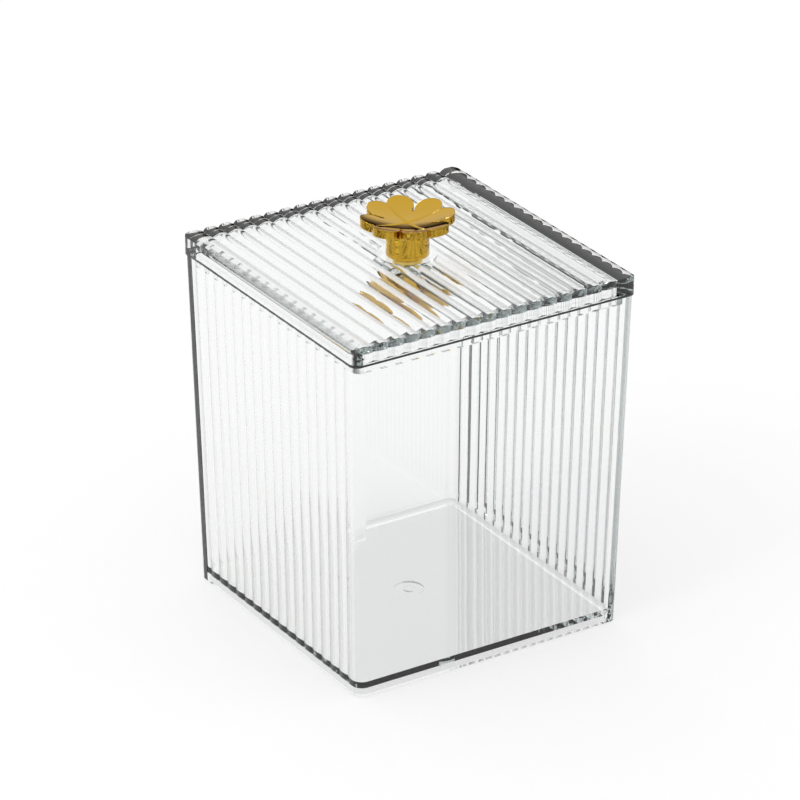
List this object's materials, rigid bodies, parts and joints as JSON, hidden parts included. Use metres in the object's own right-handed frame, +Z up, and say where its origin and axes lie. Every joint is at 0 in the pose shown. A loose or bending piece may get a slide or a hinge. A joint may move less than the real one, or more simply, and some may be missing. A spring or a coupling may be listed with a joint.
{
  "type": "square storage box",
  "caption": "Clear square countertop box with fluted sides, a lift-off ribbed lid and a gold clover knob, for cotton pads, swabs and other small toiletries.",
  "frame": {"origin": "centre of the foot's underside, on the surface that the box stands on", "axes": "+Z up; -Y is the plain front wall, -X and +X are the fluted side walls, and the lid's ribs run along Y"},
  "size_m": [0.084, 0.084, 0.11],
  "materials": {
    "clear_plastic": "clear moulded styrene, polished mould",
    "clear_lid": "clear moulded styrene, polished mould",
    "gold_plate": "die-cast and gold-plated, mirror-bright",
    "screw_brass": "brass-plated steel screw"
  },
  "bodies": {
    "root": {"box": "clear_plastic", "lid": "clear_lid", "knob": "gold_plate", "knob_screw": "screw_brass"}
  },
  "joints": []
}
